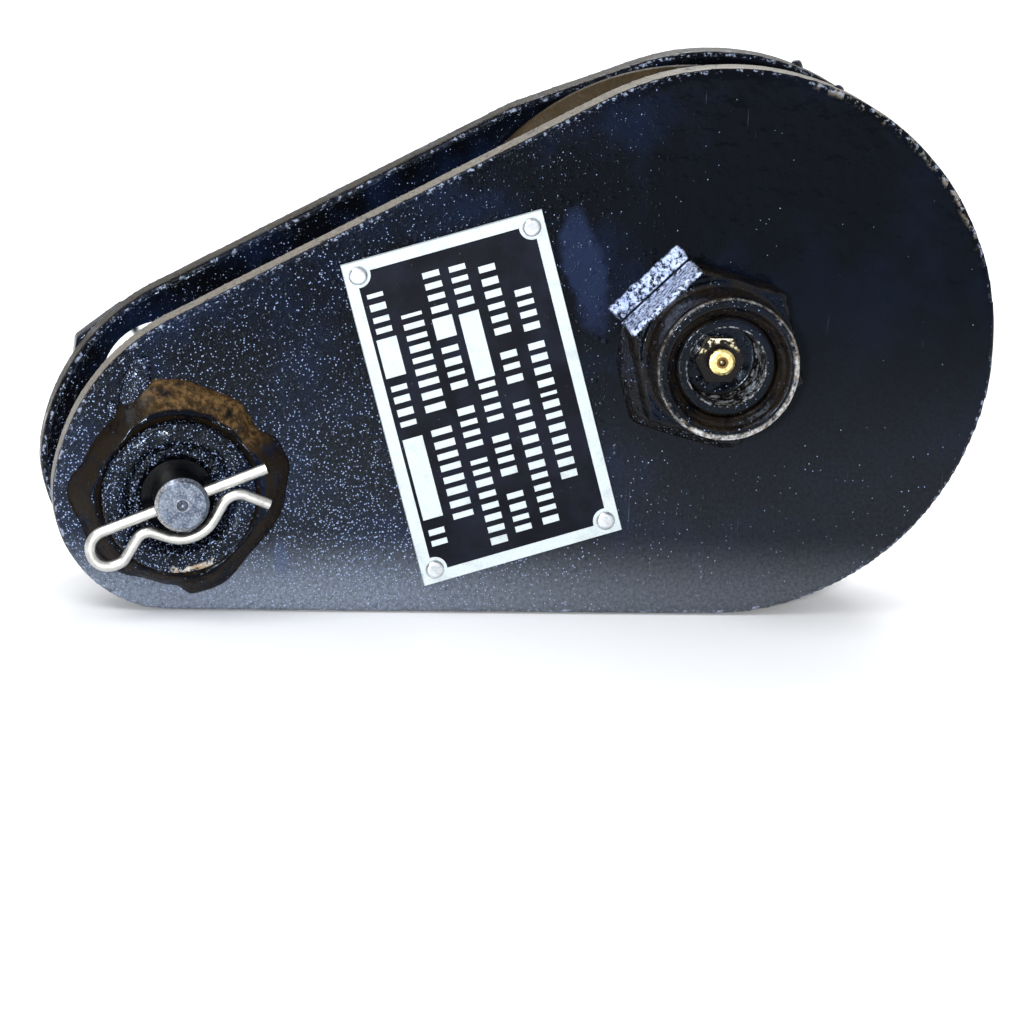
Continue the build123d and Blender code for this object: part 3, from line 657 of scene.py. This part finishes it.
def add_lump(bm, centre, out, long, wide, high, turn=0.0, seed=0):
    """Rounded blob on a face: out is the way it faces, turn its long axis from +X, degrees."""
    axis = out.orthogonal().normalized() if abs(out.y) < 0.5 else Vector((1, 0, 0))
    axis = Matrix.Rotation(math.radians(turn) * (-1 if out.y > 0 else 1), 3, -out) @ axis
    other = out.cross(axis)
    rings, sides = 7, 20
    rows = []
    for k in range(rings):
        tilt = math.pi / 2 * k / rings
        row = []
        for j in range(sides):
            angle = 2 * math.pi * j / sides
            flat = axis * (long * math.cos(angle)) + other * (wide * math.sin(angle))
            wobble = 1 + 0.18 * noise.noise(flat / (2.2 * MM) + Vector((seed, 0, 0)))
            spot = centre + flat * (math.cos(tilt) * wobble) + out * (high * math.sin(tilt))
            row.append(bm.verts.new(spot))
        rows.append(row)
    crown = bm.verts.new(centre + out * high)
    foot = [bm.verts.new(v.co - out * SUNK) for v in rows[0]]
    for first, second in zip([foot] + rows, rows):
        for j in range(sides):
            nxt = (j + 1) % sides
            bm.faces.new((first[j], first[nxt], second[nxt], second[j]))
    for j in range(sides):
        bm.faces.new((rows[-1][j], rows[-1][(j + 1) % sides], crown))
    bm.faces.new(foot[::-1])


def relief(obj, voxel, waves=()):
    """Thick paint on a CAD node: fine even faces, pushed inward by soft noise."""
    remesh = obj.modifiers.new("skin", "REMESH")
    remesh.mode = "VOXEL"
    remesh.voxel_size = voxel
    remesh.use_smooth_shade = True
    for number, (size, depth) in enumerate(waves):
        texture = bpy.data.textures.new(f"{obj.name}_wave_{number}", "CLOUDS")
        texture.noise_scale = size
        texture.noise_depth = 2
        displace = obj.modifiers.new(f"wave_{number}", "DISPLACE")
        displace.texture = texture
        displace.texture_coords = "LOCAL"
        displace.strength = depth
        displace.mid_level = 1.0


def soften(obj, width):
    """Small rounded edges and even shading on a CAD node."""
    bevel = obj.modifiers.new("edges", "BEVEL")
    bevel.width = width
    bevel.segments = 2
    bevel.limit_method = "ANGLE"
    bevel.angle_limit = math.radians(35)
    obj.modifiers.new("shading", "WEIGHTED_NORMAL")


# ------------------------------------------------------------------ cheeks and painted parts
def dress_cheeks():
    front = painted("paint_front_cheek", edge=TAN, bare=0.22, extra=front_marks)
    # the back cheek gets painted arris highlights
    back = painted("paint_back_cheek", few=0.2, many=0.45, edge=(0.030, 0.023, 0.014), bare=0.16,
                   extra=painted_arris_highlights)
    for node, material in (("front_cheek", front), ("back_cheek", back)):
        relief(give(cad(node), material), 1.0 * MM, ((9 * MM, 0.22 * MM), (2.6 * MM, 0.06 * MM)))


def dress_painted_nodes():
    nut = painted("paint_nut", few=0.45, warm_reflection=0.8, extra=nut_marks, gloss=0.14,
                  turned=0.05 * MM)
    pin = painted("paint_centre_pin", few=0.3, warm_reflection=0.5, extra=pin_marks, gloss=0.16)
    pad = painted("paint_rear_pad", many=0.45, warm_reflection=0.5)
    relief(give(cad("hub_nut"), nut), 0.45 * MM, ((3.5 * MM, 0.12 * MM),))
    relief(give(cad("rear_tail_pad"), pad), 0.7 * MM, ((7 * MM, 0.2 * MM),))
    relief(give(cad("centre_pin"), pin), 0.5 * MM, ((4 * MM, 0.08 * MM),))
    for node in ("front_inner_boss", "rear_inner_boss"):
        soften(give(cad(node), pad), 0.2 * MM)


def boss_loop(angle):
    """Section of the tail boss, the same at every angle: domed rim, flat-bottomed recess."""
    crest, lip, bore, floor = 14.0, 11.5, 8.05, 2.8
    top = BOSS_H / MM - 0.1
    outer = BOSS_R / MM
    loop = [(bore, -SUNK / MM), (outer, -SUNK / MM)]
    loop += [(outer, top * share) for share in (0.2, 0.4, 0.6, 0.78)]
    dome_start, dome_end = outer - 0.25, lip + 0.25
    for k in range(11):
        radius = dome_start + (dome_end - dome_start) * k / 10
        loop.append((radius, top - 0.13 * (radius - crest) ** 2))
    loop += [(lip, top - 1.5), (lip, 4.6), (lip - 0.1, floor + 0.4), (lip - 0.5, floor)]
    loop += [(10.0, floor), (9.0, floor), (bore, floor)]
    return [(radius * MM, height * MM) for radius, height in loop]


def add_tail_boss():
    material = painted("paint_tail_boss", many=1.5, extra=boss_marks, gloss=0.2)
    centre = Vector((TAIL.x, FRONT_FACE, TAIL.z))
    ring("front_tail_boss_cast", centre, -1, boss_loop, material, "black_paint",
         ("front_tail_boss",), lumps=0.16, lump_size=3, seed=5)


# ------------------------------------------------------------------ weld beads
# outline of the tail's weld: degrees round the pin, radius in millimetres
TAIL_WELD = ((1, 23.6), (16, 25.0), (27, 24.4), (41, 22.0), (57, 23.6), (74, 23.4), (93, 24.6),
             (107, 25.2), (122, 23.4), (136, 21.0), (158, 21.0), (180, 23.4), (202, 21.6),
             (237, 21.4), (253, 20.2), (271, 20.7), (281, 23.0), (295, 23.0), (320, 21.3))


def add_tail_weld():
    material = painted("paint_tail_weld", many=0.35, warm_reflection=1.0, golden_reflection=1.0, gloss=0.08)
    centre = Vector((TAIL.x, FRONT_FACE, TAIL.z))

    def section(angle):
        top = 5.4 * MM * (1 + 0.14 * math.sin(3 * angle + 0.6))
        return bead_loop(BOSS_R - 0.6 * MM, blend_radius(TAIL_WELD, angle), top, 1.9, 0.45, 18)

    ring("front_tail_weld_bead", centre, -1, section, material, "black_paint",
         ("front_tail_weld",), lumps=0.45, lump_size=5, seed=1)


def hexagon_radius(angle, across, corner):
    """Radius at an angle of a hexagon with one corner at another angle."""
    turn = (angle - corner) % math.radians(60) - math.radians(30)
    return across / 2 / math.cos(turn)


def add_hub_weld():
    material = painted("paint_hub_weld", few=0.9, warm_reflection=0.4, gloss=0.2)
    centre = Vector((0, FRONT_FACE, 0))
    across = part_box("centre_pin")[1].z * 2         # the pin's head has the nut's hexagon
    corner = math.radians(45)
    start, end = 163, 345
    leg = 3.0 * MM

    def section(angle):
        share = (math.degrees(angle) - start) / (end - start)
        fade = max(0.08, min(1.0, 7 * share, 7 * (1 - share)))
        flat = hexagon_radius(angle, across, corner)
        outer = min(flat, across / 2 * 1.13) + leg * fade
        return bead_loop(flat - 0.6 * MM, outer, leg * fade, 1.6, 0.0, 10)

    ring("hub_weld_bead", centre, -1, section, material, "black_paint", ("hub_weld",),
         span=(start, end), steps=120, lumps=0.35, lump_size=2.6, seed=2)


def add_inner_welds():
    # inner welds: painted warm reflection, and painted highlight arcs on the rear mound
    material = painted("paint_inner_weld", few=0.3, many=0.3, warm_reflection=0.9, extra=painted_mound_highlights,
                       gloss=0.4)
    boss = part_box("rear_inner_boss")
    inner = (boss[1].x - boss[0].x) / 2 - 0.6 * MM
    plain = 18.6 * MM

    def plain_section(angle):
        return bead_loop(inner, plain, 4.0 * MM, 2.2)

    def mound_section(angle):
        along, aside = MOUND_UP * math.sin(angle), MOUND_UP * math.cos(angle)
        inside = MOUND_R ** 2 - aside ** 2
        outer = max(plain, along + math.sqrt(inside)) if inside > 0 and along > 0 else plain
        return bead_loop(inner, outer, 3.9 * MM, 3.5)

    ring("front_inner_weld_bead", Vector((TAIL.x, -BACK_INNER, TAIL.z)), 1, plain_section,
         material, "black_paint", ("front_inner_weld",), lumps=0.4, lump_size=4, seed=3)
    ring("rear_inner_weld_bead", Vector((TAIL.x, BACK_INNER, TAIL.z)), -1, mound_section,
         material, "black_paint", ("rear_inner_weld",), lumps=0.4, lump_size=4, seed=4)


def add_paint_lumps():
    """Blobs of weld spatter and thick paint on the cheeks."""
    material = painted("paint_lumps", few=0.6, many=2.0, gloss=0.3)
    front, up = Vector((0, -1, 0)), Vector((0, 0, 1))
    bm = bmesh.new()
    # the tongue of weld above and left of the tail boss, and the blob beside it
    add_lump(bm, Vector((TAIL.x - 9.6 * MM, FRONT_FACE, TAIL.z + 23.0 * MM)), front,
             6.8 * MM, 3.2 * MM, 1.8 * MM, 104, 1)
    add_lump(bm, Vector((TAIL.x - 14.3 * MM, FRONT_FACE, TAIL.z + 17.6 * MM)), front,
             2.0 * MM, 1.6 * MM, 0.9 * MM, 60, 2)
    # spatter on the rims of the cheeks
    back_spot = Vector((24.6, 0, 57.5)) * MM
    add_lump(bm, Vector((back_spot.x, BACK_FACE - 1.6 * MM, back_spot.z - 2.2 * MM)), up,
             1.9 * MM, 1.4 * MM, 2.3 * MM, 0, 4)
    rim = Vector((math.cos(math.radians(68)), 0, math.sin(math.radians(68))))
    burr = BIG + rim * (BIG_R - 0.4 * MM)
    add_lump(bm, Vector((burr.x, FRONT_FACE + 5 * MM, burr.z)), rim, 1.8 * MM, 0.9 * MM,
             1.0 * MM, 0, 5)
    piece("paint_lumps", bm, material, "frame")


# ------------------------------------------------------------------ bare metal parts
def dress_metal_nodes():
    zinc = steel("zinc_wire", (0.56, 0.56, 0.53), 0.36, stain=0.28)
    bright = steel("bright_steel", (0.62, 0.65, 0.68), 0.32, stain=0.3)
    ball = steel("ball_steel", (0.22, 0.17, 0.10), 0.3, stain=0.3)
    for node, material in (("r_clip", zinc), ("nipple_ball", ball), ("nipple_spring", bright),
                           ("name_plate_rivets", bright), ("tail_pin", pin_steel()),
                           ("sheave", sheave_steel()), ("grease_nipple", brass())):
        give(cad(node), material)
    bushing = bronze()
    for node in ("sheave_bushing", "front_thrust_washer", "rear_thrust_washer"):
        soften(give(cad(node), bushing), 0.15 * MM)
    soften(cad("grease_nipple"), 0.25 * MM)
    soften(cad("tail_pin"), 0.25 * MM)
    smooth(cad("r_clip"))


# ------------------------------------------------------------------ name plate
PLATE_W, PLATE_H = 44.9, 73.6        # millimetres, across and along the marks
PLATE_TURN = 17.0                    # degrees
PLATE_BORDER = 2.75
PLATE_BED = 0.4                      # height where the border and its pads start
PLATE_LAP = 0.1                      # how far neighbouring pieces of it run into each other


def plate_frame():
    """Matrix from the plate's own frame to the row frame: x along the marks, y up across them."""
    low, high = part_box("name_plate")
    centre = (low + high) / 2
    turn = math.radians(PLATE_TURN)
    across = Vector((math.cos(turn), 0, math.sin(turn)))
    along = Vector((-math.sin(turn), 0, math.cos(turn)))
    out = Vector((0, -1, 0))
    axes = Matrix((along, -across, out)).transposed().to_4x4()
    return Matrix.Translation(Vector((centre.x, high.y, centre.z))) @ axes


def add_box(bm, low, high):
    """Box between two corners, with its top edges slightly drawn in."""
    draw = min(0.12, (high[0] - low[0]) / 4, (high[1] - low[1]) / 4) * MM
    corners = []
    for z, inset in ((low[2], 0.0), (high[2], draw)):
        x0, x1, y0, y1 = (v * MM for v in (low[0], high[0], low[1], high[1]))
        corners.append([bm.verts.new((x, y, z * MM)) for x, y in (
            (x0 + inset, y0 + inset), (x1 - inset, y0 + inset),
            (x1 - inset, y1 - inset), (x0 + inset, y1 - inset))])
    bottom, top = corners
    bm.faces.new(top)
    bm.faces.new(bottom[::-1])
    for k in range(4):
        nxt = (k + 1) % 4
        bm.faces.new((bottom[k], bottom[nxt], top[nxt], top[k]))


# Each row of the plate: height of its middle, bar height, then words as (start, end) and
# blank boxes as (start, end, True), in millimetres from the plate's left end and its top.
PLATE_ROWS = (
    (5.6, 3.7, ((8.0, 13.6), (14.2, 32.9, True), (35.5, 45.0), (46.8, 55.7, True), (56.8, 65.9))),
    (12.1, 4.7, ((12.5, 33.9), (37.1, 59.5))),
    (18.3, 3.9, ((4.6, 24.3), (27.0, 37.9), (40.5, 51.4), (52.0, 56.9, True), (57.9, 68.6))),
    (24.1, 3.8, ((5.9, 16.4), (18.9, 30.0), (31.4, 40.4), (41.1, 56.3, True), (57.7, 67.5))),
    (30.3, 3.8, ((5.9, 34.8), (38.4, 46.3), (49.5, 66.6))),
    (36.6, 3.8, ((14.6, 34.5), (35.7, 46.9), (48.6, 59.9))),
)


def add_corner_pads(bm, half_h, half_w, face):
    """Round white lands of the border under the four rivets."""
    inset, radius, sides = 3.1, 2.75, 28
    top = face - 0.01
    for sx in (-1, 1):
        for sy in (-1, 1):
            x, y = sx * (half_h - inset), sy * (half_w - inset)
            circle = [(x + radius * math.cos(2 * math.pi * k / sides),
                       y + radius * math.sin(2 * math.pi * k / sides)) for k in range(sides)]
            low = [bm.verts.new((px * MM, py * MM, PLATE_BED * MM)) for px, py in circle]
            high = [bm.verts.new((px * MM, py * MM, top * MM)) for px, py in circle]
            bm.faces.new(high)
            bm.faces.new(low[::-1])
            for k in range(sides):
                nxt = (k + 1) % sides
                bm.faces.new((low[k], low[nxt], high[nxt], high[k]))


def add_name_plate():
    """Aluminium sheet with a black field; its wording is replaced by plain blocks."""
    place = plate_frame()
    black, white = plate_black(), plate_white()
    half_w, half_h = PLATE_W / 2, PLATE_H / 2
    border, lap = PLATE_BORDER, PLATE_LAP
    face, field, mark = 0.80, 0.72, 0.79
    box_half = 2.3
    stroke, space, shortest = (1.3, 1.8), (1.0, 1.25), 0.8

    bm = bmesh.new()
    add_box(bm, (-half_h, -half_w, -SUNK / MM), (half_h, half_w, PLATE_BED + lap))
    for sign in (-1, 1):
        edge = sign * half_h
        low, high = sorted((edge, edge - sign * border))
        add_box(bm, (low, -half_w, PLATE_BED), (high, half_w, face))
        edge = sign * half_w
        low, high = sorted((edge, edge - sign * border))
        add_box(bm, (-half_h + border - lap, low, PLATE_BED),
                (half_h - border + lap, high, face))
    add_corner_pads(bm, half_h, half_w, face)
    bm.transform(place)
    piece("name_plate_sheet", bm, white, "frame", ("name_plate",), False)

    bm = bmesh.new()
    reach_h, reach_w = half_h - border + 2 * lap, half_w - border + 2 * lap
    add_box(bm, (-reach_h, -reach_w, PLATE_BED - lap), (reach_h, reach_w, field))
    bm.transform(place)
    piece("name_plate_field", bm, black, "frame", (), False)

    bm = bmesh.new()
    rng = random.Random(4)
    for middle_row, tall, marks in PLATE_ROWS:
        y = half_w - middle_row
        for start, end, *box in marks:
            if box:
                add_box(bm, (start - half_h, y - box_half, field - lap),
                        (end - half_h, y + box_half, mark))
                continue
            at = start
            while at < end - shortest:
                wide = min(rng.uniform(*stroke), end - at)
                add_box(bm, (at - half_h, y - tall / 2, field - lap),
                        (at + wide - half_h, y + tall / 2, mark))
                at += wide + rng.uniform(*space)
    bm.transform(place)
    piece("name_plate_marks", bm, white, "frame", (), False)


# ------------------------------------------------------------------ lights and floor
def area_light(name, azimuth, elevation, distance, size, power):
    """White disc light that looks at the middle of the block from an angle in degrees."""
    away = direction(math.radians(azimuth), math.radians(elevation))
    data = bpy.data.lights.new(name, "AREA")
    data.shape = "DISK"
    data.size = size
    data.energy = power
    light = bpy.data.objects.new(name, data)
    bpy.context.scene.collection.objects.link(light)
    aim = Vector((-0.04, 0, -0.02))
    turn = (-away).to_track_quat("-Z", "Y").to_matrix().to_4x4()
    light.matrix_world = Matrix.Translation(aim + away * distance) @ turn
    return light


def add_studio():
    world = bpy.data.worlds.new("studio")
    bpy.context.scene.world = world
    world.use_nodes = True
    background = world.node_tree.nodes["Background"]
    background.inputs["Color"].default_value = (0.95, 0.97, 1.0, 1)
    background.inputs["Strength"].default_value = 0.85
    area_light("flash", -15.5, 11.5, distance=1.15, size=0.09, power=16)
    area_light("sky_left", -60, 55, distance=1.2, size=0.7, power=8)
    area_light("sky_back", 165, 45, distance=1.2, size=0.9, power=12)

    bpy.ops.mesh.primitive_plane_add(size=8, location=(0, 0, GROUND - 0.1 * MM))
    floor = bpy.context.active_object
    floor.name = "floor"
    s = Shader("floor_white")
    tint = s.mix(s.noise(0.4), (0.86, 0.87, 0.88), (0.84, 0.85, 0.87))
    give(floor, s.finish(Base_Color=tint, Roughness=0.35))


# ------------------------------------------------------------------ everything
add_camera()
dress_cheeks()
dress_painted_nodes()
add_tail_boss()
add_tail_weld()
add_hub_weld()
add_inner_welds()
add_paint_lumps()
dress_metal_nodes()
add_name_plate()
add_studio()
bpy.context.scene.view_settings.view_transform = "Standard"

bpy.context.view_layer.update()
